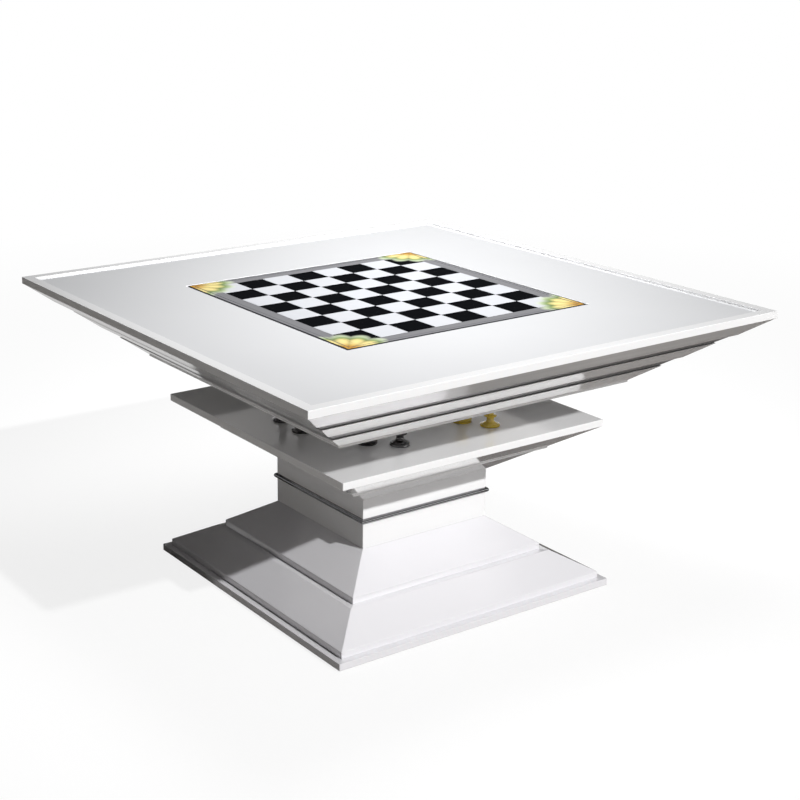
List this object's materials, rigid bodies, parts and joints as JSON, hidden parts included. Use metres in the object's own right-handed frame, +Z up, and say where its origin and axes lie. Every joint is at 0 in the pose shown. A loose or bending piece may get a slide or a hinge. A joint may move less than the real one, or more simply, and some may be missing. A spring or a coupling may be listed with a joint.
{
  "type": "games table",
  "caption": "Low square games table: wide top with an inset chessboard and a stepped, tapering underside, over a shelf for the chess men, a square column and a stepped base.",
  "frame": {"origin": "on the floor, under the middle of the top", "axes": "+Z up; -Y is the front, the side seen to the right of the near corner in the picture; +X to the right when facing the front. All four sides are alike apart from the chess men."},
  "size_m": [1.2, 1.2, 0.665],
  "materials": {
    "white_lacquer": "high-gloss white lacquer on board",
    "shadow_lacquer": "dark grey lacquer on board",
    "bare_board": "plain fibreboard, out of sight",
    "softwood": "planed softwood, out of sight",
    "polished_metal": "polished",
    "plated_steel": "zinc plated",
    "border_glass": "polished glass, painted grey behind",
    "dark_glass": "polished glass, painted black behind",
    "light_glass": "polished glass, painted white behind",
    "dark_wood": "turned, polished, near black",
    "amber_wood": "turned, polished, amber",
    "pad": "moulded glide pad"
  },
  "bodies": {
    "root": {"amber_chess_men": "amber_wood", "base_slab": "white_lacquer", "board_glass": "border_glass", "closing_panel": "white_lacquer", "column_beads": "polished_metal", "column_corner_blocks": "softwood", "column_panel_back": "white_lacquer", "column_panel_front": "white_lacquer", "column_panel_left": "white_lacquer", "column_panel_right": "white_lacquer", "core_post": "softwood", "dark_chess_men": "dark_wood", "dark_squares": "dark_glass", "glide_pads": "pad", "light_squares": "light_glass", "lower_flare_back": "white_lacquer", "lower_flare_front": "white_lacquer", "lower_flare_left": "white_lacquer", "lower_flare_right": "white_lacquer", "lower_plinth_back": "white_lacquer", "lower_plinth_front": "white_lacquer", "lower_plinth_left": "white_lacquer", "lower_plinth_right": "white_lacquer", "lower_shadow_strips": "shadow_lacquer", "lower_step_back": "white_lacquer", "lower_step_front": "white_lacquer", "lower_step_left": "white_lacquer", "lower_step_right": "white_lacquer", "middle_step_back": "white_lacquer", "middle_step_front": "white_lacquer", "middle_step_left": "white_lacquer", "middle_step_right": "white_lacquer", "neck_panel_back": "white_lacquer", "neck_panel_front": "white_lacquer", "neck_panel_left": "white_lacquer", "neck_panel_right": "white_lacquer", "rim_rail_back": "white_lacquer", "rim_rail_front": "white_lacquer", "rim_rail_left": "white_lacquer", "rim_rail_right": "white_lacquer", "shelf_slab": "white_lacquer", "sub_top": "bare_board", "tie_rod": "plated_steel", "tie_rod_nuts": "plated_steel", "tie_rod_washers": "plated_steel", "top_panel": "white_lacquer", "top_ribs": "bare_board", "upper_flare_back": "white_lacquer", "upper_flare_front": "white_lacquer", "upper_flare_left": "white_lacquer", "upper_flare_right": "white_lacquer", "upper_plinth_back": "white_lacquer", "upper_plinth_front": "white_lacquer", "upper_plinth_left": "white_lacquer", "upper_plinth_right": "white_lacquer", "upper_shadow_strips": "shadow_lacquer", "upper_step_back": "white_lacquer", "upper_step_front": "white_lacquer", "upper_step_left": "white_lacquer", "upper_step_right": "white_lacquer"}
  },
  "joints": []
}
